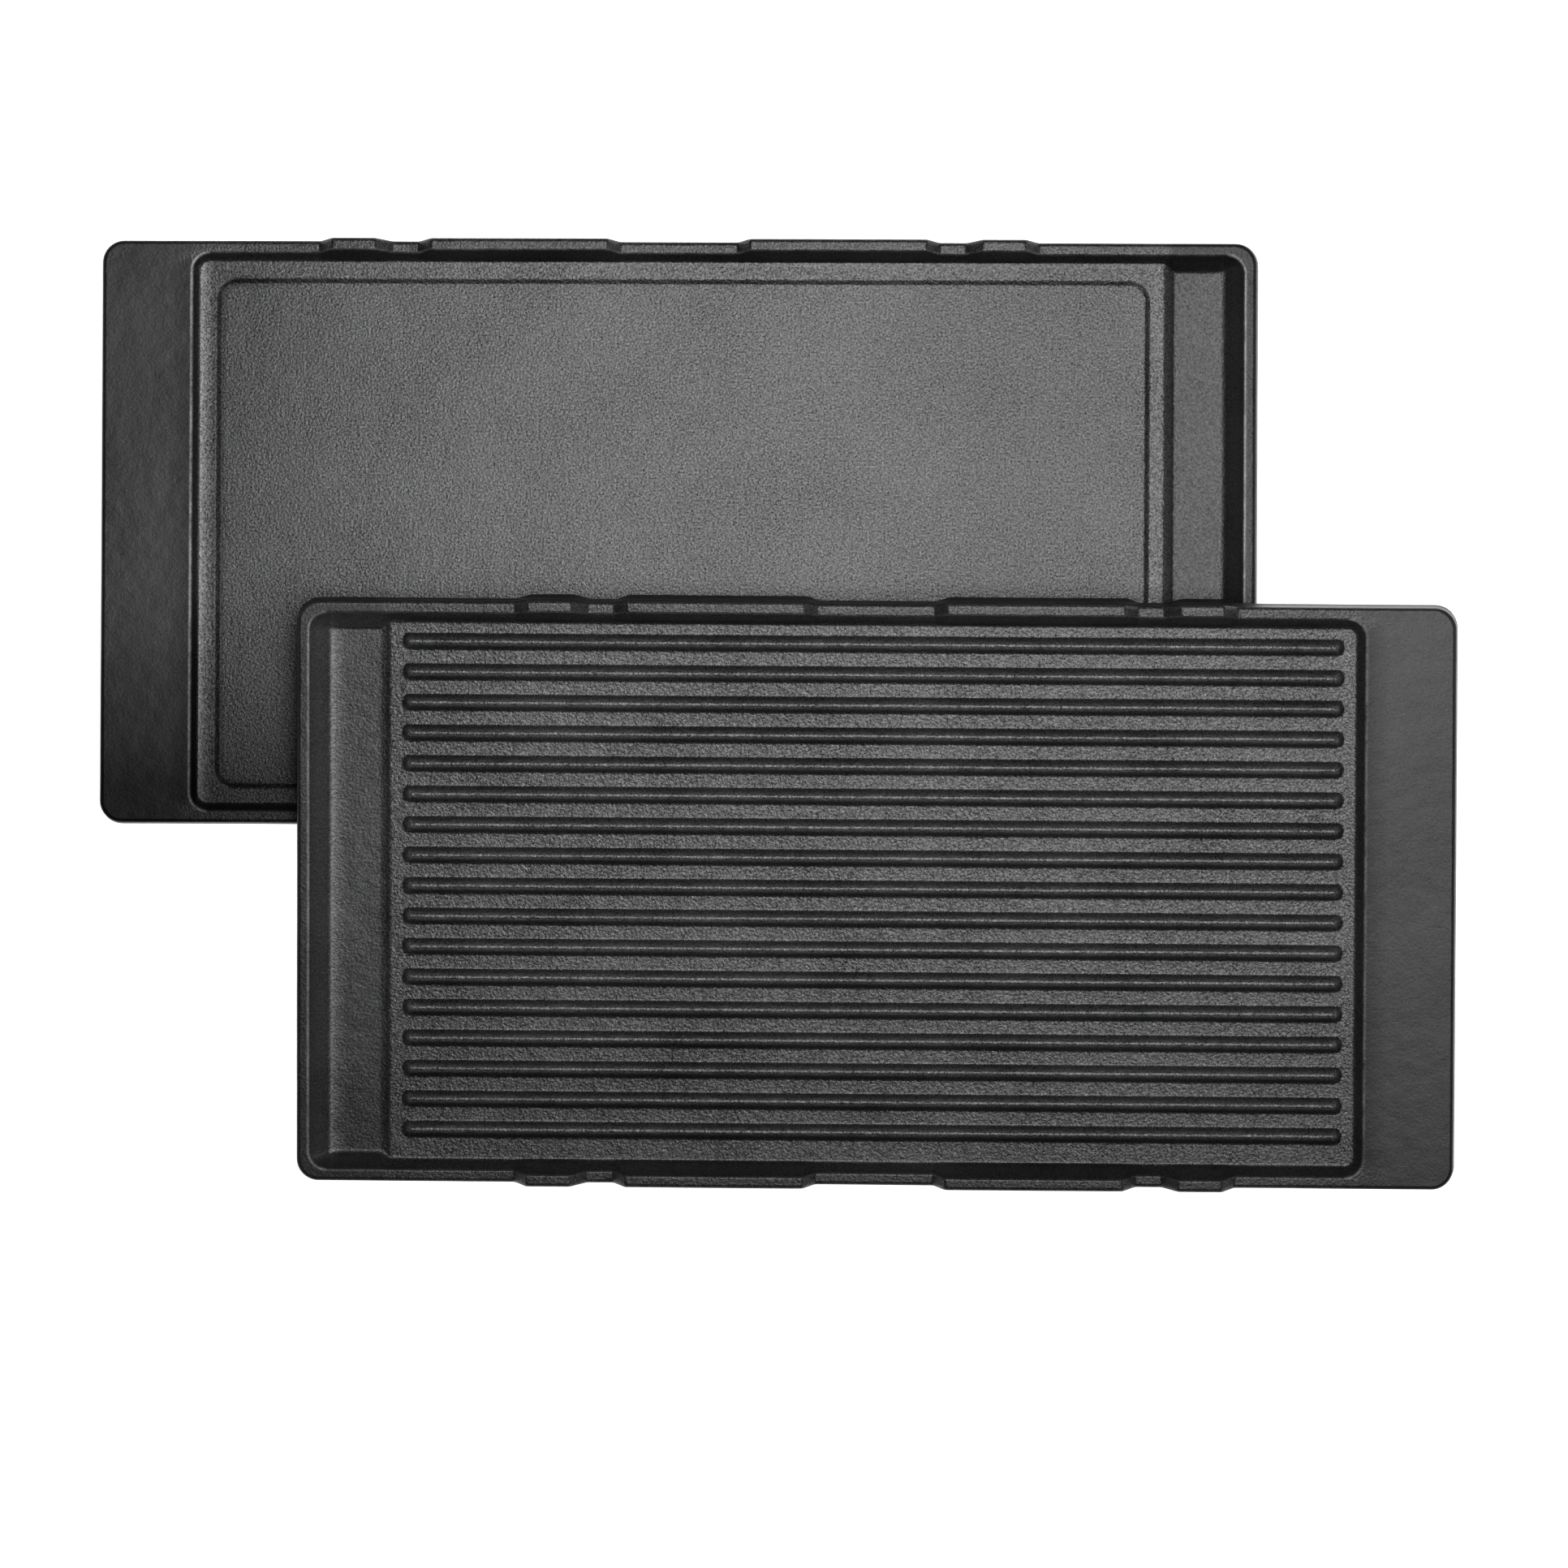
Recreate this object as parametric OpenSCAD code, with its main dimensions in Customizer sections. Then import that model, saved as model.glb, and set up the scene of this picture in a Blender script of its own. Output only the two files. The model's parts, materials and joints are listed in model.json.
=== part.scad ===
// Set of two reversible cast-iron griddle plates for a cooktop, made from one casting pattern.
// Each plate has a flat cooking face on one side and a ribbed one on the other, a raised rim, a grease
// trough at one end, a solid grip flange at the other, and raised lugs along both long rims.
// The flat side plate lies level on its lugs. The ribbed side plate leans on the flat side plate's lugs.
// Frame: +X along the plates, +Y to the back, +Z up. The origin is under the middle of the set.

/* [Plate] */
// Length of a plate
plate_l = 480; // [450:5:520]
// Width of a plate across its long rims
plate_w = 242.5; // [236:0.5:260]
// Thickness from rim to rim, without the lugs
plate_t = 18; // [18:0.5:22]
// Radius of a plate's outer corners
corner_r = 9.5; // [8:0.5:14]
// Width of the solid grip flange at one end
flange_w = 37.5; // [30:0.5:45]
// Width of the rim on the other three sides
rim_w = 5.1; // [4.6:0.1:7]
// How far a recess wall runs inward for each millimetre that it goes down
wall_lean = 0.7; // [0.4:0.05:0.8]
// Radius of a recess's corners at the top edge
recess_r = 8; // [7.6:0.1:12]

/* [Flat face] */
// Depth of the ledge that runs round the flat cooking surface
ledge_depth = 4.6; // [4:0.1:4.8]
// Width of the ledge along the rim
ledge_w = 6.9; // [5:0.1:10]
// Width of the ledge along the trough
trough_ledge = 5.8; // [4:0.1:10]
// Depth of the flat cooking surface
flat_depth = 5.7; // [5:0.1:5.9]
// How far the step from the ledge down to the cooking surface runs
step_run = 2.2; // [0.8:0.1:3]
// Radius of the cooking surface's corners
step_r = 9; // [3.5:0.1:10]

/* [Trough] */
// Width of the grease trough's flat bottom
trough_w = 20.6; // [14:0.2:26]
// Depth of the trough below the rim, on both faces
trough_depth = 7; // [6.6:0.1:7.4]
// How far the trough's outer wall runs inward from the end rim
trough_wall = 9.3; // [6:0.1:10]
// How far the slope from the cooking side down into the trough runs
trough_slope = 4; // [2:0.1:5]

/* [Ribs] */
// Depth of the floor between the ribs
ribbed_depth = 6; // [5.6:0.1:6.2]
// Number of ribs
rib_n = 17; // [9:1:17]
// Distance from one rib to the next
rib_pitch = 12.7; // [11:0.1:12.8]
// Height of a rib
rib_h = 4; // [2:0.1:5]
// Width of a rib at its foot
rib_foot_w = 6.8; // [5:0.1:8]
// Width of a rib along its top
rib_top_w = 1.8; // [1:0.1:3]
// Length of a rib
rib_l = 388.6; // [300:0.2:390]
// How far the ribs sit towards the back from the plate's middle
rib_shift = 2.2; // [0:0.1:2.2]

/* [Lugs] */
// Height of a lug above the rim
lug_h = 6; // [6:0.1:8]
// How far a lug leans outward
lug_flare = 1.2; // [0:0.1:1.5]
// Gap between the two long lugs, at the rim
middle_notch = 49; // [40:1:60]
// Length of a long lug, at the rim
long_lug = 83.5; // [70:0.5:90]
// Gap between a long lug and a short lug, at the rim
small_notch = 11; // [8:0.5:14]
// Length of a short lug, at the rim
short_lug = 30; // [26:0.5:40]
// Run of a lug's end ramps
lug_ramp = 5; // [3:0.5:6]
// Run of the gentler ramp on a short lug's inner end
easy_ramp = 7; // [5:0.5:9]

/* [Set] */
// How far the leaning plate sits to the right of the level one
offset_x = 83.1; // [60:0.1:90]
// Distance between the front edges of the two plates
offset_y = 146; // [120:1:160]
// Turn of the leaning plate seen from above
lean_yaw = -0.2; // [-0.5:0.05:0.5]
// Clearance between the two plates where one leans on the other
lean_gap = 0.4; // [0.3:0.05:0.6]

/* [Hidden] */
iron = "#2c2d30";
over = 1;

half_w = plate_w / 2;
half_t = plate_t / 2;
recess_l = plate_l - flange_w - rim_w;
recess_w = plate_w - 2 * rim_w;
recess_x = (flange_w - rim_w) / 2;
recess_end = plate_l / 2 - rim_w;
trough_end = recess_end - trough_wall;
trough_start = trough_end - trough_w - trough_slope;
surface_start = -plate_l / 2 + flange_w + ledge_depth * wall_lean + ledge_w;
surface_l = trough_start - trough_ledge - surface_start;
surface_w = recess_w - 2 * (ledge_depth * wall_lean + ledge_w);
rib_x = (trough_start - plate_l / 2 + flange_w + ribbed_depth * wall_lean) / 2;

// The lean: the front lower lug edge stands on the ground, and the underside's flat cooking surface
// rests on the outer upper edge of the level plate's front lugs.
edge_y = half_w + lug_flare;
stand_h = half_t + lug_h;
rest_h = 2 * stand_h + lean_gap;
surface_rise = lug_h + flat_depth;
lean = atan2(rest_h, offset_y) - asin(surface_rise / norm([rest_h, offset_y]));
lean_y = -edge_y - offset_y + edge_y * cos(lean) - stand_h * sin(lean);
lean_z = edge_y * sin(lean) + stand_h * cos(lean);

// The middle of the whole set, so that the origin lies under it.
reach_x = offset_x + (plate_l / 2 - corner_r) * cos(lean_yaw)
        + (half_w - corner_r) * abs(sin(lean_yaw)) + corner_r;
lug_end = middle_notch / 2 + long_lug + small_notch + short_lug - lug_ramp;
reach_y = lean_y - edge_y * cos(lean) - stand_h * sin(lean) - lug_end * abs(sin(lean_yaw));
set_x = (reach_x - plate_l / 2) / 2;
set_y = (reach_y + edge_y) / 2;

$fn = 48;

// The cross-section of a cut whose walls lean outward: it opens from its foot at -deep up to z = 0.
function leaning(w, deep, run) =
    [[-w / 2 + run, -deep], [w / 2 - run, -deep], [w / 2, 0], [w / 2, over], [-w / 2, over], [-w / 2, 0]];

// A block to cut with, of rounded plan, full size at z = 0. It narrows by `run` on every side down to
// z = -deep, and goes straight up above z = 0.
module tapered_block(l, w, r, deep, run) {
    translate([-l / 2 + r, 0, 0]) rotate([90, 0, 90])
        linear_extrude(l - 2 * r) polygon(leaning(w, deep, run));
    translate([0, w / 2 - r, 0]) rotate([90, 0, 0])
        linear_extrude(w - 2 * r) polygon(leaning(l, deep, run));
    for (x = [-1, 1], y = [-1, 1])
        translate([x * (l / 2 - r), y * (w / 2 - r), 0]) {
            translate([0, 0, -deep]) cylinder(deep, r - run, r);
            cylinder(over, r, r);
        }
}

// The plain cast slab with its rounded corners.
module slab() {
    translate([0, 0, -half_t]) linear_extrude(plate_t) {
        square([plate_l - 2 * corner_r, plate_w], center = true);
        square([plate_l, plate_w - 2 * corner_r], center = true);
        for (x = [-1, 1], y = [-1, 1])
            translate([x * (plate_l / 2 - corner_r), y * (half_w - corner_r)]) circle(corner_r);
    }
}

// The recess inside the rim: level at `deep`, then down a slope into the grease trough, and up to the
// end rim. Its walls lean outward all round.
module recess(deep) {
    bottom = [[-plate_l, -deep], [trough_start, -deep], [trough_start + trough_slope, -trough_depth],
              [trough_end, -trough_depth], [recess_end, 0]];
    intersection() {
        translate([recess_x, 0, half_t])
            tapered_block(recess_l, recess_w, recess_r, trough_depth, trough_depth * wall_lean);
        translate([0, half_w, half_t]) rotate([90, 0, 0]) linear_extrude(plate_w)
            polygon(concat(bottom, [[recess_end, 2 * over], [-plate_l, 2 * over]]));
    }
}

// What is taken out of the flat face: the recess to its ledge, and the lower cooking surface.
module flat_face_cut() {
    recess(ledge_depth);
    translate([surface_start + surface_l / 2, 0, half_t - ledge_depth])
        tapered_block(surface_l, surface_w, step_r, flat_depth - ledge_depth, step_run);
}

// One rib, lying along X on the floor at z = 0, with round ends.
module rib() {
    foot = rib_foot_w / 2;
    top = rib_top_w / 2;
    reach = rib_l / 2 - foot;
    translate([-reach, 0, 0]) rotate([90, 0, 90]) linear_extrude(2 * reach)
        polygon([[-foot, -over], [foot, -over], [foot, 0], [top, rib_h], [-top, rib_h], [-foot, 0]]);
    for (x = [-reach, reach])
        translate([x, 0, 0]) {
            cylinder(rib_h, foot, top);
            translate([0, 0, -over]) cylinder(over, foot, foot);
        }
}

// The row of ribs, on a floor at z = 0.
module ribs() {
    for (i = [0:rib_n - 1])
        translate([rib_x, rib_shift + (i - (rib_n - 1) / 2) * rib_pitch, 0]) rib();
}

// One lug on the back rim, from x = start, with a ramp at each end. It leans outward.
module lug(start, l, ramp_in, ramp_out) {
    inner = half_w - rim_w;
    section = [[inner + 0.5, -over], [half_w - 0.5, -over], [half_w, 0], [edge_y, lug_h],
               [inner + lug_flare, lug_h], [inner, 0]];
    side = [[0, -over], [l, -over], [l, 0], [l - ramp_out, lug_h], [ramp_in, lug_h], [0, 0]];
    intersection() {
        translate([start - over, 0, half_t]) rotate([90, 0, 90])
            linear_extrude(l + 2 * over) polygon(section);
        translate([start, edge_y + over, half_t]) rotate([90, 0, 0])
            linear_extrude(edge_y - inner + 2 * over) polygon(side);
    }
}

// The lugs of one face: a long and a short one each way from the middle, on both long rims.
module lugs() {
    for (x = [0, 1], y = [0, 1])
        mirror([x, 0, 0]) mirror([0, y, 0]) {
            lug(middle_notch / 2, long_lug, lug_ramp, lug_ramp);
            lug(middle_notch / 2 + long_lug + small_notch, short_lug, easy_ramp, lug_ramp);
        }
}

// One whole casting about its own middle: flat face up, grip flange at -X, trough at +X.
module plate() {
    difference() {
        slab();
        flat_face_cut();
        mirror([0, 0, 1]) recess(ribbed_depth);
    }
    translate([0, 0, -half_t + ribbed_depth]) mirror([0, 0, 1]) ribs();
    lugs();
    mirror([0, 0, 1]) lugs();
}

// The plate at the back, flat face up, level on its lower lugs.
module flat_side_plate() {
    color(iron) translate([-set_x, -set_y, stand_h]) plate();
}

// The plate at the front, turned over to its ribbed face, leaning back on the other plate's lugs.
module ribbed_side_plate() {
    color(iron) translate([offset_x - set_x, lean_y - set_y, lean_z])
        rotate([lean, 0, lean_yaw]) rotate([0, 180, 0]) plate();
}

flat_side_plate();
ribbed_side_plate();
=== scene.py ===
"""Two reversible cast-iron griddle plates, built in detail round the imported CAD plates.

Both plates are the same casting. One mesh builder makes it, in millimetres about the plate's own middle,
with the flat cooking face up, the grip flange at -X and the grease trough at +X.
"""
import json
import math

import bpy
import numpy as np
from mathutils import Matrix, Vector, noise


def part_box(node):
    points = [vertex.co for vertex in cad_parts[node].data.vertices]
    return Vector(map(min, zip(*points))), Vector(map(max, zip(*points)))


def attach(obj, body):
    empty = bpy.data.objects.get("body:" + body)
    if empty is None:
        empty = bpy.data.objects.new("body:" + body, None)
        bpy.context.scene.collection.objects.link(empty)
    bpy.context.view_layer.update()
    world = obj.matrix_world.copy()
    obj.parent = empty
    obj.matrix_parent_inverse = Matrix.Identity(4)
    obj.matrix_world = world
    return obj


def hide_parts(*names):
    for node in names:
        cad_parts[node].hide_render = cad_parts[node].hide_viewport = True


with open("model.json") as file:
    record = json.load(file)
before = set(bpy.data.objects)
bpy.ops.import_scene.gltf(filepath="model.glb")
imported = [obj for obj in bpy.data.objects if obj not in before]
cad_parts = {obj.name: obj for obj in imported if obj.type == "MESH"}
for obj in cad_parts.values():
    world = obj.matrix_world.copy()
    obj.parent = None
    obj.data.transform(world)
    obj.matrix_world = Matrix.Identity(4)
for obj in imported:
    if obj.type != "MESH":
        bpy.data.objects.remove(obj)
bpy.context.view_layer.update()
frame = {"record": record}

MM = 0.001

# ---------------------------------------------------------------- the plate's sizes, in millimetres
level_low, level_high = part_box("flat_side_plate")
level_size = (level_high - level_low) / MM

# the whole plate, its rim and the recess's inner walls
LUG_H = 6.0
LUG_FLARE = 1.2
PLATE_L = level_size.x
PLATE_W = level_size.y - 2 * LUG_FLARE
PLATE_T = level_size.z - 2 * LUG_H
HALF_T = PLATE_T / 2
CORNER_R = 9.5
FLANGE_W = 37.5
RIM_W = 5.1
WALL_LEAN = 0.7
RECESS_R = 8.0

# the flat face
LEDGE_DEPTH = 4.6
LEDGE_W = 6.9
TROUGH_LEDGE = 5.8
FLAT_DEPTH = 5.7
STEP_RUN = 2.2
STEP_R = 9.0

# the grease trough, on both faces
TROUGH_W = 20.6
TROUGH_DEPTH = 7.0
TROUGH_WALL = 9.3
TROUGH_SLOPE = 4.0

# the ribbed face
RIBBED_DEPTH = 6.0
RIB_N = 17
RIB_PITCH = 12.7
RIB_H = 4.0
RIB_FOOT_W = 6.5
RIB_TOP_W = 1.5
RIB_L = 388.6
RIB_SHIFT = 2.2

# the lugs on a long side, outwards from its middle
MIDDLE_NOTCH = 49.0
LONG_LUG = 83.5
SMALL_NOTCH = 11.0
SHORT_LUG = 30.0
LUG_RAMP = 5.0
EASY_RAMP = 7.0

# What casting adds to those sizes. A fillet is as wide as the blend between two surfaces.
EDGE_R = 1.5
DRAFT = 0.35
SKIN = 0.12
PARTING_BAND = 0.5
TROUGH_SIDE_LEAN = 0.3
COVE_W = 6.9
COVE_H = 0.42
STEP_SHIFT = -0.5
LUG_ROUNDING = 1.1
SLOPE_EASE = 0.3        # how far inside its own ends the trough's slope bends,
BROW_RUN = 1.0          # how far the slope's upper part runs,
FLAT_BROW = 0.3         # and what share of the drop that part takes on each face
RIBBED_BROW = 0.55
WALL_END_FILLET = 2.0
FLOOR_FILLET = 1.1
RIM_FILLET = 0.5
WAVE_H, WAVE_L = 0.07, 55       # the height and the length of the skin's waves and of its dents
DENT_H, DENT_L = 0.035, 11

OUTLINE = (-PLATE_L / 2, PLATE_L / 2, -PLATE_W / 2, PLATE_W / 2)
RECESS = (OUTLINE[0] + FLANGE_W, OUTLINE[1] - RIM_W, OUTLINE[2] + RIM_W, OUTLINE[3] - RIM_W)
TROUGH_END = RECESS[1] - TROUGH_WALL
TROUGH_START = TROUGH_END - TROUGH_W - TROUGH_SLOPE
STEP_IN = LEDGE_DEPTH * WALL_LEAN + LEDGE_W
STEP_BOX = (RECESS[0] + STEP_IN, TROUGH_START - TROUGH_LEDGE,
            RECESS[2] + STEP_IN + STEP_SHIFT, RECESS[3] - STEP_IN + STEP_SHIFT)
RIB_X = (TROUGH_START + RECESS[0] + RIBBED_DEPTH * WALL_LEAN) / 2

# Where each lug ramp starts on the way out from the plate's middle, and how far it runs.
LONG_LUG_IN = MIDDLE_NOTCH / 2
LONG_LUG_OUT = LONG_LUG_IN + LONG_LUG
SHORT_LUG_IN = LONG_LUG_OUT + SMALL_NOTCH
SHORT_LUG_OUT = SHORT_LUG_IN + SHORT_LUG
RAMPS = [(LONG_LUG_IN, LUG_RAMP), (LONG_LUG_OUT - LUG_RAMP, LUG_RAMP),
         (SHORT_LUG_IN, EASY_RAMP), (SHORT_LUG_OUT - LUG_RAMP, LUG_RAMP)]


# ---------------------------------------------------------------- shapes as functions of the place
def rounded_line(points, cuts):
    """The line through the points, with each corner rounded from its cut before it to its cut after it.
    One number for the cuts means the same at each corner."""
    points = [np.array(p, float) for p in points]
    curve = [points[0]]
    each_cut = np.broadcast_to(cuts, len(points) - 2)
    for before, corner, after, cut in zip(points, points[1:], points[2:], each_cut):
        reach = min(cut, np.linalg.norm(before - corner) / 2, np.linalg.norm(after - corner) / 2)
        start = corner + (before - corner) / np.linalg.norm(before - corner) * reach
        end = corner + (after - corner) / np.linalg.norm(after - corner) * reach
        for t in np.linspace(0, 1, 9):
            curve.append((1 - t) ** 2 * start + 2 * t * (1 - t) * corner + t ** 2 * end)
    curve.append(points[-1])
    return np.array(curve).T


def soft_max(a, b, blend):
    """The larger of a and b, with a fillet where they cross."""
    near = np.clip(1 - np.abs(a - b) / blend, 0, 1)
    return np.maximum(a, b) + near * near * blend / 4


def soft_min(a, b, blend):
    return -soft_max(-a, -b, blend)


def inset(x, y, box, r):
    """How far (x, y) is inside a rounded rectangle; negative outside it."""
    qx = np.abs(x - (box[0] + box[1]) / 2) - (box[1] - box[0]) / 2 + r
    qy = np.abs(y - (box[2] + box[3]) / 2) - (box[3] - box[2]) / 2 + r
    return r - np.hypot(np.maximum(qx, 0), np.maximum(qy, 0)) - np.minimum(np.maximum(qx, qy), 0)


# Profiles to read heights from. Each goes on level beyond what it shapes.
FLOOR_END = 2 * PLATE_L
LINE_END = 9
STEP_DROP = FLAT_DEPTH - LEDGE_DEPTH
STEP_LINE = rounded_line(
    [(-LINE_END, 0), (0, 0), (STEP_RUN, -STEP_DROP), (LINE_END, -STEP_DROP)], (0.5, 0.3))
RIB_LINE = rounded_line(
    [(-LINE_END, RIB_H), (RIB_TOP_W / 2, RIB_H), (RIB_FOOT_W / 2, 0), (LINE_END, 0)], (0.9, 0.4))
LUG_LINE = rounded_line(
    [(-FLOOR_END, 0), (LONG_LUG_IN, 0), (LONG_LUG_IN + LUG_RAMP, LUG_H),
     (LONG_LUG_OUT - LUG_RAMP, LUG_H), (LONG_LUG_OUT, 0), (SHORT_LUG_IN, 0),
     (SHORT_LUG_IN + EASY_RAMP, LUG_H), (SHORT_LUG_OUT - LUG_RAMP, LUG_H),
     (SHORT_LUG_OUT, 0), (FLOOR_END, 0)], LUG_ROUNDING)


def floor_line(deep, brow):
    """The recess's bottom from the flange end to the trough, as a line in x and height. The upper part of
    the slope into the trough takes the share `brow` of its drop."""
    upper_end = -deep - brow * (TROUGH_DEPTH - deep)
    slope_low, slope_high = TROUGH_START + SLOPE_EASE, TROUGH_START + TROUGH_SLOPE - SLOPE_EASE
    return rounded_line(
        [(-FLOOR_END, -deep), (slope_low, -deep), (slope_low + BROW_RUN, upper_end),
         (slope_high, -TROUGH_DEPTH), (FLOOR_END, -TROUGH_DEPTH)], (0.7, 0.3, 0.5))


def cove(x, low, high):
    """Height of the shallow coves at the floor's two ends, which rise towards the end walls' feet."""
    near_low, near_high = np.clip(1 - (x - low) / COVE_W, 0, 1), np.clip(1 - (high - x) / COVE_W, 0, 1)
    return COVE_H * (near_low ** 2 + near_high ** 2)


def flat_floor(x, y):
    """Height of the flat face's floor below the rim: ledge, cooking surface and trough."""
    bottom = np.interp(x, *floor_line(LEDGE_DEPTH, FLAT_BROW))
    step = np.interp(inset(x, y, STEP_BOX, STEP_R), *STEP_LINE)
    return bottom + step + cove(x, RECESS[0] + LEDGE_DEPTH * WALL_LEAN, TROUGH_END)


def from_rib(x, y):
    """How far a place is from the middle line of the nearest rib."""
    row = np.clip(np.round((y - RIB_SHIFT) / RIB_PITCH), -(RIB_N // 2), RIB_N // 2)
    across = y - RIB_SHIFT - row * RIB_PITCH
    beyond = np.maximum(np.abs(x - RIB_X) - RIB_L / 2 + RIB_FOOT_W / 2, 0)
    return np.hypot(beyond, across)


def ribbed_floor(x, y):
    """Height of the ribbed face's floor below the rim: ribs and trough."""
    bottom = np.interp(x, *floor_line(RIBBED_DEPTH, RIBBED_BROW))
    rib = np.interp(from_rib(x, y), *RIB_LINE)
    return bottom + rib + cove(x, RECESS[0] + RIBBED_DEPTH * WALL_LEAN, TROUGH_END)


def face_height(x, y, floor):
    """Height of a face below the rim's top, with cast fillets: the rim, its inner walls and the floor."""
    lean = WALL_LEAN + TROUGH_SIDE_LEAN * np.clip((x - TROUGH_START) / TROUGH_SLOPE, 0, 1)
    wall = -inset(x, y, RECESS, RECESS_R) / lean
    end = -(RECESS[1] - x) * TROUGH_DEPTH / TROUGH_WALL
    sunk = soft_max(soft_max(wall, end, WALL_END_FILLET), floor(x, y), FLOOR_FILLET)
    return soft_min(sunk, 0.0, RIM_FILLET)


def lug_height(x):
    return np.interp(np.abs(x), *LUG_LINE) * (1 - SKIN / LUG_H)


# ---------------------------------------------------------------- the mesh
# How coarse the skin is on the flange, the main surface and the trough, and how bright it is on each face.
COARSE = (0.3, 1.0, 0.6)
FLAT_TONE = (0.54, 1.0, 0.61)
RIBBED_TONE = (0.53, 0.97, 0.76)
RIM_SKIN = (0.8, 0.72)          # how coarse and how bright the rim is beside the surface it goes round

# Painted light and shade: how much darker the trough's slope and the outer walls are painted, and how much
# brighter the ribs' flanks, beside what is round them.
SLOPE_PAINTED_SHADE = 0.72
FLANK_PAINTED_LIGHT = 1.5
OUTER_WALL_PAINTED_SHADE = 0.55

# How much painted shade darkens the step and the wall near the flange, and any corner, and how much a
# painted shadow darkens the flange's corner.
STEP_PAINTED_SHADE = 0.5
WALL_PAINTED_SHADE = 0.45
FLANGE_PAINTED_SHADOW = 0.7
CORNER_PAINTED_SHADE = 0.14
SHADE_REACH = 1.0              # how far round a place to look for whether it lies in a corner,
SUNK = 0.3                      # and how deep it has to

# Edge wear, partly real and partly a painted highlight, on the recess's edge of each face, the share of that
# on its long sides, and on the ribs' tops.
FLAT_EDGE_WEAR_AND_HIGHLIGHT = 1.0
RIBBED_EDGE_WEAR_AND_HIGHLIGHT = 0.4
LONG_SIDE_WEAR_AND_HIGHLIGHT = 0.15
RIB_WEAR_AND_HIGHLIGHT = 0.08
WEAR_AND_HIGHLIGHT_REACH = 0.7                # how far the wear and painted highlight go on each side of the recess's edge
PROUD_REACH = 0.7               # how far round a place to look for whether it stands proud,
PROUD = 0.22                    # and how high it has to

CORNER_STEPS = 5                # grid lines across a corner
GRID_INSET = 6.0                # the grid covers the recess inside this line; rings go on from there
GRID_GAP = 9                    # the widest gap between grid lines,
RIB_GAP = 3                     # and between the ones along the ribs
FLANGE_EASE = 2                 # how far outside the recess's edge the flange's own skin begins
PIN = 160.0                     # on the rings, x stays put up to here, so that the lugs stay in place
LUG_EASE = 0.6                  # the recess's wall has a lug's whole height from this near its edge
GRID = (RECESS[0] + GRID_INSET, RECESS[1] - GRID_INSET, RECESS[2] + GRID_INSET, RECESS[3] - GRID_INSET)
GRID_R = RECESS_R - GRID_INSET


def fill(low, high, wanted, gap, least=0.2):
    """Grid lines from low to high: the wanted ones, none closer than `least`, and no gap over `gap`."""
    kept = [low]
    for value in sorted(wanted):
        if value - kept[-1] > least and high - value > least:
            kept.append(value)
    kept.append(high)
    lines = []
    for a, b in zip(kept, kept[1:]):
        n = max(1, math.ceil((b - a) / gap))
        lines += [a + (b - a) * i / n for i in range(n)]
    return np.array(lines + [high])


def mirrored(values):
    return [s * v for v in values for s in (-1, 1)]


def lug_lines():
    lines = []
    for start, run in RAMPS:
        for d in (-0.9, -0.2, 0.5, run / 2, run - 0.5, run + 0.2, run + 0.9):
            lines.append(start + d)
    return mirrored(lines)


def trough_lines():
    slope = [TROUGH_START + d for d in (-1.3, -0.6, 0, 0.7, 1.4, 2.2, 3.0, 3.7, 4.4, 5.2)]
    return slope + [TROUGH_END + d for d in (-6.5, -5.0, -3.5, -2.2, -1.2, -0.7, -0.2, 0.3, 0.8)]


def flat_lines():
    """Grid lines of the flat face, along x and along y."""
    step = (-0.8, -0.4, -0.1, 0.25, 0.6, 0.95, 1.3, 1.6, 1.9, 2.3, 3.0, 3.8, 4.8, 5.8, 7.0, 8.4)
    ledge = (-6.5, -5.0, -3.5, -2.2)
    xs = [STEP_BOX[0] + d for d in (*ledge, *step)] + [STEP_BOX[1] - d for d in step]
    ys = [STEP_BOX[2] + d for d in step] + [STEP_BOX[3] - d for d in step]
    return xs + trough_lines() + lug_lines(), ys


def ribbed_lines():
    """Grid lines of the ribbed face, along x and along y."""
    tip = (-1.2, -0.6, -0.1, 0.4, 1.0, 1.6, 2.2, 2.8, 3.4, 4.4)
    xs = [RIB_X - RIB_L / 2 + d for d in tip] + [RIB_X + RIB_L / 2 - d for d in tip]
    across = mirrored([0.55, 0.9, 1.25, 2.15, 3.0, 3.45, 4.1]) + [0]
    rows = range(-(RIB_N // 2), RIB_N // 2 + 1)
    ys = [RIB_SHIFT + row * RIB_PITCH + d for row in rows for d in across]
    return xs + trough_lines() + lug_lines(), ys


def corner_share(i, n):
    """How far line i of n is into the corner at the first line, down to -1, or at the last one, up to 1."""
    k = CORNER_STEPS
    return np.clip((i - (n - 1 - k)) / k, 0, 1) - np.clip((k - i) / k, 0, 1)


class Loops:
    """Closed loops of points round the plate: the edge of a face's grid, and the rings outside it."""

    def __init__(self, xs, ys):
        n, m = len(xs), len(ys)
        bottom = [(i, 0) for i in range(n)]
        right = [(n - 1, j) for j in range(1, m)]
        top = [(i, m - 1) for i in range(n - 2, -1, -1)]
        left = [(0, j) for j in range(m - 2, 0, -1)]
        self.cells = np.array(bottom + right + top + left)
        i, j = self.cells.T
        self.u, self.v = corner_share(i, n), corner_share(j, m)
        self.x, self.y = xs[i], ys[j]
        self.long_side = (self.u == 0).astype(float)
        self.outward = np.sign(self.v)

    def ring(self, box, r):
        """The loop's points on a rounded rectangle."""
        straight = (GRID[0] + GRID_R, -PIN, PIN, GRID[1] - GRID_R)
        x = np.interp(self.x, straight, (box[0] + r, -PIN, PIN, box[1] - r))
        y = np.interp(self.y, (GRID[2] + GRID_R, GRID[3] - GRID_R), (box[2] + r, box[3] - r))
        return x + r * self.u * np.sqrt(1 - self.v ** 2 / 2), y + r * self.v * np.sqrt(1 - self.u ** 2 / 2)


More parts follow.
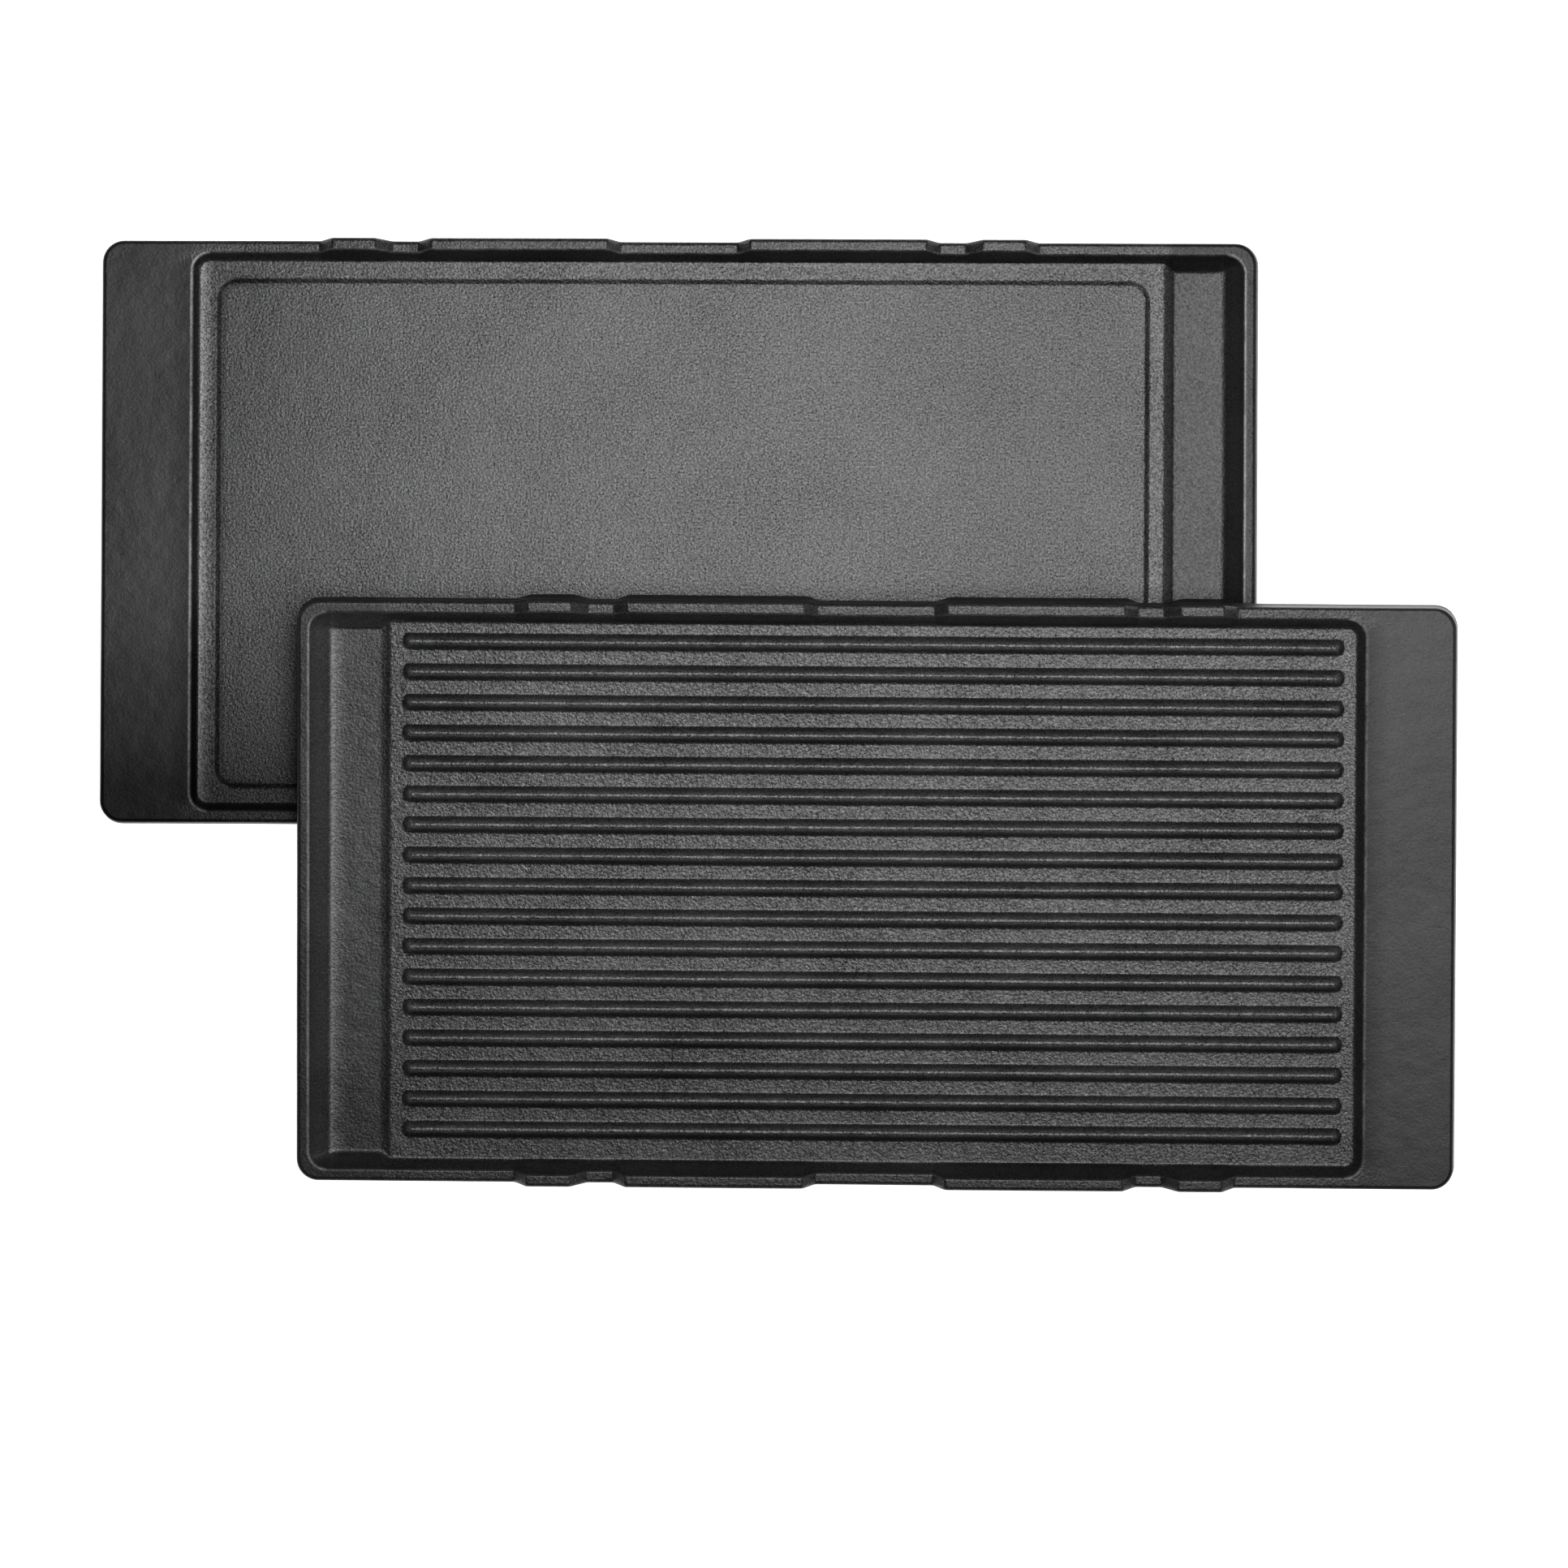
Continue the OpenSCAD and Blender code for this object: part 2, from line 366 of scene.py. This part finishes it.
def grid_lines(wanted, low, high, gap):
    """A grid's lines one way: a few across each corner, and the wanted ones between."""
    corner = np.linspace(0, GRID_R, CORNER_STEPS + 1)[:-1]
    middle = fill(low + GRID_R, high - GRID_R, wanted, gap)
    return np.concatenate([low + corner, middle, (high - corner)[::-1]])


def rim_rings(deep):
    """The rings from the recess's wall out over the rim and down the outer wall to the parting line.
    Each has its box, its corner radius, its height below the rim or None for the face's own height, how
    much of a lug's height it takes, and how much edge wear and painted highlight it has."""
    rings = []
    foot = deep * WALL_LEAN
    for s in (5.3, 4.8, 4.4, 4.0, 3.6, 3.2, 2.6, 1.8, 1.0, 0.6, 0.3, 0.0, -0.3, -0.6, -1.0, -1.4):
        box = (RECESS[0] + s, RECESS[1] - s, RECESS[2] + s, RECESS[3] - s)
        lift = min(max((foot - s) / (foot - LUG_EASE), 0), 1)
        rings.append((box, RECESS_R - s, None, lift, max(0.0, 1 - abs(s) / WEAR_AND_HIGHLIGHT_REACH)))
    inner, inner_r = rings[-1][0], rings[-1][1]
    edge = []
    for turn in np.radians((0, 22.5, 45, 67.5, 90)):
        edge.append((DRAFT + EDGE_R * (1 - math.sin(turn)), EDGE_R * (math.cos(turn) - 1), 1, 0))
    top = [(DRAFT + EDGE_R + 0.9, 0, 1, 0), (DRAFT + EDGE_R + 0.3, 0, 1, 0)]
    wall = [(0.9 * DRAFT, -EDGE_R - 0.5, 0.4, 0), (0.8 * DRAFT, -EDGE_R - 1.3, 0, 0),
            (0.6 * DRAFT, -HALF_T / 2, 0, 0), (0.4 * DRAFT, -HALF_T + 0.8, 0, 0),
            (0, -HALF_T + PARTING_BAND / 2, 0, 0)]
    outer = []
    for d, z, lift, wear in top + edge + wall:
        d += SKIN
        box = (OUTLINE[0] + d, OUTLINE[1] - d, OUTLINE[2] + d, OUTLINE[3] - d)
        outer.append((box, CORNER_R - d, z, lift, wear))
    for share in (0.25, 0.5, 0.75):
        box = tuple(a + (b - a) * share for a, b in zip(inner, outer[0][0]))
        rings.append((box, inner_r + (outer[0][1] - inner_r) * share, 0, 1, 0))
    return rings + outer


def proud_wear_and_highlight(x, y, floor):
    """Edge wear and painted highlight where a place stands proud of what is round it, such as a rib's top. 1
    is bare iron.
    """
    near = 0
    for dx, dy in ((PROUD_REACH, 0), (-PROUD_REACH, 0), (0, PROUD_REACH), (0, -PROUD_REACH)):
        near += face_height(x + dx, y + dy, floor) / 4
    return RIB_WEAR_AND_HIGHLIGHT * np.clip((face_height(x, y, floor) - near) / PROUD, 0, 1)


def painted_corner_shade(x, y, floor):
    """How much painted shade darkens a place for lying in a corner, such as a rib's or a wall's foot, from 0
    to 1.
    """
    near = 0
    for turn in np.radians(range(0, 360, 45)):
        near += face_height(x + SHADE_REACH * math.cos(turn), y + SHADE_REACH * math.sin(turn), floor) / 8
    return np.clip((near - face_height(x, y, floor)) / SUNK, 0, 1)


def on_floor(x, y, deep, shade):
    """A floor's shade, faded out over the walls round it."""
    return 1 + (shade - 1) * np.clip(inset(x, y, RECESS, RECESS_R) / (deep * WALL_LEAN), 0, 1)


def flat_shade(x, y):
    """Painted light and shade on the flat face. Its floor has a painted highlight at the feet of the end
    walls and painted shade on the trough's slope, and the cooking surface is painted darker towards its ends
    and along the step near the flange. The wall beside the flange is painted dark, and a painted shadow lies
    over the flange's lower corner."""
    foot = RECESS[0] + LEDGE_DEPTH * WALL_LEAN
    # A painted highlight at the end wall's foot, and painted shade towards the step.
    ledge = np.interp(x, (foot - 0.5, foot, foot + 2, STEP_BOX[0] - 0.5, STEP_BOX[0]), (1, 1.6, 1.1, 0.6, 1))
    # A painted highlight at the trough's end wall foot, and painted shade on the trough's slope.
    trough = np.interp(TROUGH_END - x, (-0.5, 0, 2), (1, 1.3, 1))
    slope = np.interp(x - TROUGH_START, (0, 0.6, 3.2, 4.2), (1, SLOPE_PAINTED_SHADE, SLOPE_PAINTED_SHADE, 1))
    # Painted shade towards the cooking surface's two ends.
    painted_falloff = np.interp(x, (STEP_BOX[0], STEP_BOX[0] + 75, 70, 140), (0.76, 1, 1, 0.92))
    surface = np.where((x > STEP_BOX[0]) & (x < STEP_BOX[1]), painted_falloff, 1)
    # Painted shade along the step near the flange.
    band = np.interp(inset(x, y, STEP_BOX, STEP_R), (-1.0, 0.3, 2.6, 4.2), (0, 1, 1, 0))
    step = 1 - STEP_PAINTED_SHADE * band * np.clip((STEP_BOX[0] + 35 - x) / 30, 0, 1)
    # Painted shade on the wall beside the flange.
    inside = np.clip(inset(x, y, RECESS, RECESS_R) / 0.6, 0, 1)
    wall = 1 - WALL_PAINTED_SHADE * inside * np.interp(x - RECESS[0], (0.4, 1.0, 2.6, 3.2), (0, 1, 1, 0))
    # A painted shadow over the flange's lower corner.
    corner = 1 - FLANGE_PAINTED_SHADOW * np.clip((-25 - y) / 80, 0, 1) * np.clip((-100 - x) / 60, 0, 1)
    return on_floor(x, y, LEDGE_DEPTH, ledge * trough * slope * surface * step) * wall * corner


def ribbed_shade(x, y):
    """Painted light and shade on the ribbed face: a painted highlight at the foot of the trough's end wall,
    painted light on the ribs' flanks, and painted shade towards one side, less so on the flange."""
    # A painted highlight at the foot of the trough's end wall.
    foot = np.interp(TROUGH_END - x, (-0.5, 0, 1.5, 4), (1, 1.7, 1.3, 1))
    flanks = (0.5 * RIB_TOP_W, 0.5 * RIB_TOP_W + 0.4, 0.5 * RIB_FOOT_W - 0.4, 0.5 * RIB_FOOT_W)
    # Painted light on the ribs' flanks.
    flank = np.interp(from_rib(x, y), flanks, (1, FLANK_PAINTED_LIGHT, FLANK_PAINTED_LIGHT, 1))
    # Painted shade towards one side.
    fade = np.interp(x - RECESS[0], (-1, 1), (0.12, 0.22)) * np.clip((-20 - y) / 95, 0, 1)
    return on_floor(x, y, RIBBED_DEPTH, foot) * flank * (1 - fade)


def skin_along(x, values):
    """A value of the skin along the plate, from the ones on the flange, the main surface and the trough."""
    ends = (RECESS[0] - 1, RECESS[0] + 1, TROUGH_START + 1, TROUGH_START + TROUGH_SLOPE)
    return np.interp(x, ends, (values[0], values[1], values[1], values[2]))


def build_face(floor, deep, edge, tones, shade, wanted, gap_y):
    """One face: its points with heights above the rim, its four-sided cells, its skin and its last loop.
    A point's skin is how much edge wear and painted highlight it has, how coarse it is, and how bright it is
    with its painted light and shade."""
    xs = grid_lines(wanted[0], GRID[0], GRID[1], GRID_GAP)
    ys = grid_lines(wanted[1], GRID[2], GRID[3], gap_y)
    n, m = len(xs), len(ys)
    x, y = np.meshgrid(xs, ys, indexing="ij")
    i, j = np.meshgrid(np.arange(n), np.arange(m), indexing="ij")
    u, v = corner_share(i, n), corner_share(j, m)
    x = np.where((u != 0) & (v != 0), x - u * GRID_R + u * GRID_R * np.sqrt(1 - v ** 2 / 2), x)
    y = np.where((u != 0) & (v != 0), y - v * GRID_R + v * GRID_R * np.sqrt(1 - u ** 2 / 2), y)
    points = [np.stack([x.ravel(), y.ravel(), face_height(x, y, floor).ravel()], 1)]
    index = np.arange(n * m).reshape(n, m)
    cells = [np.stack([index[:-1, :-1], index[1:, :-1], index[1:, 1:], index[:-1, 1:]], -1).reshape(-1, 4)]

    loops = Loops(xs, ys)
    last = index[tuple(loops.cells.T)]
    foot = deep * WALL_LEAN
    # Brightness here is each zone's own brightness times painted light and shade, painted corner shade
    # included.
    tone_and_painted_light = skin_along(x, tones) * shade(x, y) * (1 - CORNER_PAINTED_SHADE * painted_corner_shade(x, y, floor))
    skin = [np.stack([proud_wear_and_highlight(x, y, floor).ravel(), skin_along(x, COARSE).ravel(), tone_and_painted_light.ravel()], 1)]
    count = n * m
    for box, r, z, lift, wear_and_highlight in rim_rings(deep):
        rx, ry = loops.ring(box, r)
        deeper = max(box[0] - RECESS[0], 0)
        rz = face_height(rx, ry, floor) if z is None else np.full(len(rx), float(z))
        raised = lug_height(rx) * loops.long_side * lift
        ring = np.stack([rx, ry + loops.outward * LUG_FLARE * raised / LUG_H, rz + raised], 1)
        here = count + np.arange(len(rx))
        cells.append(np.stack([last, here, np.roll(here, -1), np.roll(last, -1)], 1))
        points.append(ring)
        # The rings' brightness carries painted shade too, in corners and on the outer walls.
        tone_and_painted_light = skin_along(rx, tones) * shade(rx, ry)
        if z is None:
            tone_and_painted_light = tone_and_painted_light * (1 - CORNER_PAINTED_SHADE * painted_corner_shade(rx, ry, floor))
        elif z < -EDGE_R / 2:
            tone_and_painted_light = tone_and_painted_light * OUTER_WALL_PAINTED_SHADE
        on_rim = np.clip((foot - deeper) / foot, 0, 1) * (rx > RECESS[0] - FLANGE_EASE)
        tone_and_painted_light = tone_and_painted_light * (1 + (RIM_SKIN[1] - 1) * on_rim)
        # Edge wear and painted highlight, weaker on the long sides.
        edge_wear_and_highlight = wear_and_highlight * edge * np.where(loops.long_side > 0, LONG_SIDE_WEAR_AND_HIGHLIGHT, 1.0)
        skin.append(np.stack([edge_wear_and_highlight, skin_along(rx, COARSE) * RIM_SKIN[0], tone_and_painted_light], 1))
        last, count = here, count + len(rx)
    return np.concatenate(points), np.concatenate(cells), np.concatenate(skin), last


def along(loop):
    """How far round the plate each point of a loop is, from 0 at the first one."""
    steps = np.linalg.norm(np.roll(loop, -1, 0) - loop, axis=1)
    return np.concatenate([[0], np.cumsum(steps)[:-1]]) / steps.sum()


def zip_loops(points, upper, lower):
    """Triangles that join two loops with different numbers of points."""
    a, b = along(points[upper][:, :2]), along(points[lower][:, :2])
    a, b = np.append(a, 1), np.append(b, 1)
    i = j = 0
    triangles = []
    while i < len(upper) or j < len(lower):
        p, q = upper[i % len(upper)], lower[j % len(lower)]
        if j == len(lower) or (i < len(upper) and a[i + 1] <= b[j + 1]):
            i += 1
            triangles.append((q, upper[i % len(upper)], p))
        else:
            j += 1
            triangles.append((q, lower[j % len(lower)], p))
    return triangles


def cast_unevenness(points, seed):
    """Moves the points a little, as an iron casting's skin is never quite flat or straight."""
    noise.seed_set(seed)        # or else noise_vector would differ from run to run
    shift = Vector((seed, 2 * seed, 3 * seed))
    moves = []
    for p in points:
        place = Vector(p) + shift
        wave, dent = noise.noise_vector(place / WAVE_L), noise.noise_vector(place / DENT_L)
        moves.append(WAVE_H * wave + DENT_H * dent)
    return points + np.array(moves)


def build_plate(name, seed):
    """The whole casting as one closed mesh, in millimetres about its middle."""
    upper, cells, skin, upper_edge = build_face(
        flat_floor, LEDGE_DEPTH, FLAT_EDGE_WEAR_AND_HIGHLIGHT, FLAT_TONE, flat_shade, flat_lines(), GRID_GAP)
    lower, lower_cells, lower_skin, lower_edge = build_face(
        ribbed_floor, RIBBED_DEPTH, RIBBED_EDGE_WEAR_AND_HIGHLIGHT, RIBBED_TONE, ribbed_shade, ribbed_lines(), RIB_GAP)
    upper[:, 2] += HALF_T
    lower[:, 2] = -HALF_T - lower[:, 2]
    first = len(upper)
    points = np.concatenate([upper, lower])
    joint = zip_loops(points, upper_edge, lower_edge + first)
    quads = np.concatenate([cells, lower_cells[:, ::-1] + first])
    faces = quads.tolist() + [t[::-1] for t in joint]

    mesh = bpy.data.meshes.new(name)
    mesh.from_pydata(cast_unevenness(points, seed).tolist(), [], faces)
    plan = mesh.attributes.new("plan", "FLOAT_VECTOR", "POINT")
    plan.data.foreach_set("vector", (points + 1000 * seed).astype(np.float32).ravel())
    skin = np.concatenate([skin, lower_skin]).astype(np.float32)
    for column, title in enumerate(("wear_and_highlight", "pebble", "tone_and_painted_light")):
        values = np.ascontiguousarray(skin[:, column])
        mesh.attributes.new(title, "FLOAT", "POINT").data.foreach_set("value", values)
    mesh.shade_smooth()
    mesh.validate()
    return mesh


def place_plate(name, node, body, pose, seed, material):
    """A plate in its place, standing for its CAD node."""
    mesh = build_plate(name, seed)
    mesh.transform(pose @ Matrix.Scale(MM, 4))
    mesh.materials.append(material)
    piece = bpy.data.objects.new(name, mesh)
    bpy.context.scene.collection.objects.link(piece)
    even = piece.modifiers.new("even_shading", "WEIGHTED_NORMAL")
    even.keep_sharp = False
    even.weight = 100
    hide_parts(node)
    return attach(piece, body)


# ---------------------------------------------------------------- the material
def link(tree, source, target):
    tree.links.new(source, target)


def node(tree, kind, **values):
    made = tree.nodes.new(kind)
    for key, value in values.items():
        if key in made.inputs:
            made.inputs[key].default_value = value
        else:
            setattr(made, key, value)
    return made


def product(tree, a, b):
    """The product of two outputs, or of an output and a number."""
    made = node(tree, "ShaderNodeMath", operation="MULTIPLY")
    link(tree, a, made.inputs[0])
    if isinstance(b, float):
        made.inputs[1].default_value = b
    else:
        link(tree, b, made.inputs[1])
    return made.outputs["Value"]


def remap(tree, source, spans, **values):
    """Goes from spans[2] to spans[3] as the source goes from spans[0] to spans[1]."""
    made = node(tree, "ShaderNodeMapRange", **values)
    for title, value in zip(("From Min", "From Max", "To Min", "To Max"), spans):
        made.inputs[title].default_value = value
    link(tree, source, made.inputs["Value"])
    return made.outputs["Result"]


DARK_IRON = (0.0058, 0.0060, 0.0068, 1)
PALE_IRON = (0.0095, 0.0097, 0.0105, 1)
# The bare grey of edge wear, which also paints the edges' highlights.
BARE_IRON_OR_HIGHLIGHT = (0.42, 0.42, 0.43, 1)
SPECKLE = 0.55          # how much brighter and darker the skin's grains are
BLOTCHES = 0.14         # the same for its cloudy patches
SHEEN = 0.5             # the specular level where the skin is brightest


def cast_iron():
    """Black, lightly seasoned cast iron: pebbly sand-cast skin, smoother flange, bare grey on edges, partly
    real wear and partly a painted highlight.
    """
    material = bpy.data.materials.new("seasoned_cast_iron")
    material.use_nodes = True
    tree = material.node_tree
    shader = tree.nodes["Principled BSDF"]
    plan = node(tree, "ShaderNodeAttribute", attribute_name="plan").outputs["Vector"]
    wear_and_highlight, pebble, tone_and_painted_light = (node(tree, "ShaderNodeAttribute", attribute_name=title).outputs["Fac"]
                          for title in ("wear_and_highlight", "pebble", "tone_and_painted_light"))

    grain = node(tree, "ShaderNodeTexNoise", Scale=0.9, Detail=2.0, Roughness=0.6)
    lumps = node(tree, "ShaderNodeTexNoise", Scale=0.14, Detail=2.0, Roughness=0.5)
    clouds = node(tree, "ShaderNodeTexNoise", Scale=0.02, Detail=4.0, Roughness=0.6)
    speck = node(tree, "ShaderNodeTexNoise", Scale=1.2, Detail=1.0, Roughness=0.6)
    for texture in (grain, lumps, clouds, speck):
        link(tree, plan, texture.inputs["Vector"])
    grain, lumps, clouds, speck = (texture.outputs["Fac"] for texture in (grain, lumps, clouds, speck))

    colour = node(tree, "ShaderNodeValToRGB")
    for element, position, value in zip(colour.color_ramp.elements, (0.3, 0.7), (DARK_IRON, PALE_IRON)):
        element.position = position
        element.color = value
    link(tree, clouds, colour.inputs["Fac"])
    # Bare grey on the edges: real wear and a painted highlight.
    wear_and_highlight_mix = product(tree, wear_and_highlight, remap(tree, lumps, (0.3, 0.6, 0.35, 1.0)))
    bare_or_highlight = node(tree, "ShaderNodeMix", data_type="RGBA")
    link(tree, wear_and_highlight_mix, bare_or_highlight.inputs["Factor"])
    link(tree, colour.outputs["Color"], bare_or_highlight.inputs[6])
    bare_or_highlight.inputs[7].default_value = BARE_IRON_OR_HIGHLIGHT

    # How bright the skin is: its cloudy patches and its grains, times the place's brightness from its zone
    # and from painted light and shade.
    shade = node(tree, "ShaderNodeMath", operation="MULTIPLY_ADD")
    link(tree, remap(tree, speck, (0.3, 0.7, -1.0, 1.0), clamp=False), shade.inputs[0])
    link(tree, product(tree, pebble, SPECKLE), shade.inputs[1])
    link(tree, remap(tree, clouds, (0.3, 0.7, 1 - BLOTCHES, 1 + BLOTCHES)), shade.inputs[2])
    level = product(tree, shade.outputs["Value"], tone_and_painted_light)
    toned = node(tree, "ShaderNodeVectorMath", operation="SCALE")
    link(tree, bare_or_highlight.outputs[2], toned.inputs[0])
    link(tree, level, toned.inputs["Scale"])
    link(tree, toned.outputs["Vector"], shader.inputs["Base Color"])

    link(tree, remap(tree, clouds, (0.0, 1.0, 0.34, 0.44)), shader.inputs["Roughness"])
    link(tree, product(tree, level, SHEEN), shader.inputs["Specular IOR Level"])

    fine = node(tree, "ShaderNodeBump", Distance=0.0003)
    link(tree, pebble, fine.inputs["Strength"])
    link(tree, grain, fine.inputs["Height"])
    coarse = node(tree, "ShaderNodeBump", Strength=0.5, Distance=0.0004)
    link(tree, lumps, coarse.inputs["Height"])
    link(tree, fine.outputs["Normal"], coarse.inputs["Normal"])
    link(tree, coarse.outputs["Normal"], shader.inputs["Normal"])
    return material


# ---------------------------------------------------------------- the set
iron = cast_iron()

level_middle = (level_low + level_high) / 2
lean_low, lean_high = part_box("ribbed_side_plate")
lean_middle = (lean_low + lean_high) / 2
mounts = {m["name"]: m for m in frame["record"]["mounts"]}
seat = Vector(mounts["leaning_plate_back_grate_seat"]["axis"])
lean = math.atan2(math.hypot(seat.x, seat.y), -seat.z)
yaw = math.atan2(-seat.x, seat.y)

level_pose = Matrix.Translation(level_middle)
lean_pose = (Matrix.Translation(lean_middle) @ Matrix.Rotation(yaw, 4, "Z") @ Matrix.Rotation(lean, 4, "X")
             @ Matrix.Rotation(math.pi, 4, "Y"))
place_plate("flat_side_casting", "flat_side_plate", "level_plate", level_pose, 11, iron)
place_plate("ribbed_side_casting", "ribbed_side_plate", "leaning_plate", lean_pose, 47, iron)


# ---------------------------------------------------------------- camera, floor and light
FIELD_WIDTH = 0.6503        # what the picture spans at the aim point, in metres
CAMERA_DISTANCE = 8.0
CAMERA_TILT = math.radians(1.2)
CAMERA_SIDE_TILT = math.radians(2.3)
CAMERA_ROLL = math.radians(0.29)
AIM = level_middle + Vector((0.0442, -0.1036, 0))
FLOOR_HALF = 6.0            # half the floor's width
FLOOR_GAP = 0.0005          # what is left between it and the lugs


def add_camera():
    data = bpy.data.cameras.new("camera")
    data.sensor_width = 36
    data.lens = data.sensor_width * CAMERA_DISTANCE / FIELD_WIDTH
    data.clip_end = 100
    camera = bpy.data.objects.new("camera", data)
    turn = (Matrix.Rotation(CAMERA_ROLL, 4, "Z") @ Matrix.Rotation(CAMERA_SIDE_TILT, 4, "Y")
            @ Matrix.Rotation(CAMERA_TILT, 4, "X"))
    camera.matrix_world = Matrix.Translation(AIM) @ turn @ Matrix.Translation((0, 0, CAMERA_DISTANCE))
    bpy.context.scene.collection.objects.link(camera)
    bpy.context.scene.camera = camera


def add_floor():
    mesh = bpy.data.meshes.new("floor")
    corners = [(x * FLOOR_HALF, y * FLOOR_HALF, 0) for x, y in ((-1, -1), (1, -1), (1, 1), (-1, 1))]
    mesh.from_pydata(corners, [], [(0, 1, 2, 3)])
    material = bpy.data.materials.new("floor_white")
    material.use_nodes = True
    shader = material.node_tree.nodes["Principled BSDF"]
    shader.inputs["Base Color"].default_value = (0.85, 0.85, 0.85, 1)
    shader.inputs["Roughness"].default_value = 0.9
    shader.inputs["Emission Color"].default_value = (1, 1, 1, 1)
    shader.inputs["Emission Strength"].default_value = 0.93
    mesh.materials.append(material)
    floor = bpy.data.objects.new("floor", mesh)
    floor.location.z = -FLOOR_GAP
    bpy.context.scene.collection.objects.link(floor)


def add_softbox(name, place, aim, size, watts):
    data = bpy.data.lights.new(name, "AREA")
    data.shape = "RECTANGLE"
    data.size, data.size_y = size
    data.energy = watts
    light = bpy.data.objects.new(name, data)
    light.location = place
    light.rotation_euler = (Vector(aim) - Vector(place)).to_track_quat("-Z", "Y").to_euler()
    bpy.context.scene.collection.objects.link(light)


def add_world():
    """A studio that is pale near the horizon, as a backdrop, and dim overhead, where the softboxes are."""
    world = bpy.data.worlds.new("studio")
    world.use_nodes = True
    tree = world.node_tree
    place = node(tree, "ShaderNodeTexCoord")
    split = node(tree, "ShaderNodeSeparateXYZ")
    link(tree, place.outputs["Generated"], split.inputs["Vector"])
    fade = remap(tree, split.outputs["Z"], (0.06, 0.32, 0.8, 0.03), interpolation_type="SMOOTHSTEP")
    link(tree, fade, tree.nodes["Background"].inputs["Strength"])
    tree.nodes["Background"].inputs["Color"].default_value = (1, 1, 1, 1)
    bpy.context.scene.world = world


add_camera()
add_floor()
add_softbox("overhead", place=(0.03, 0.16, 1.1), aim=(0.03, 0.16, 0.0), size=(0.42, 0.8), watts=14)
add_softbox("front_right", place=(0.36, -0.28, 1.1), aim=(0.36, -0.28, 0.0), size=(0.4, 0.4), watts=3.6)
add_softbox("right_side", place=(1.5, 0.1, 0.6), aim=(0.0, 0.0, 0.0), size=(0.5, 0.5), watts=3)
add_world()
bpy.context.scene.view_settings.view_transform = "Standard"
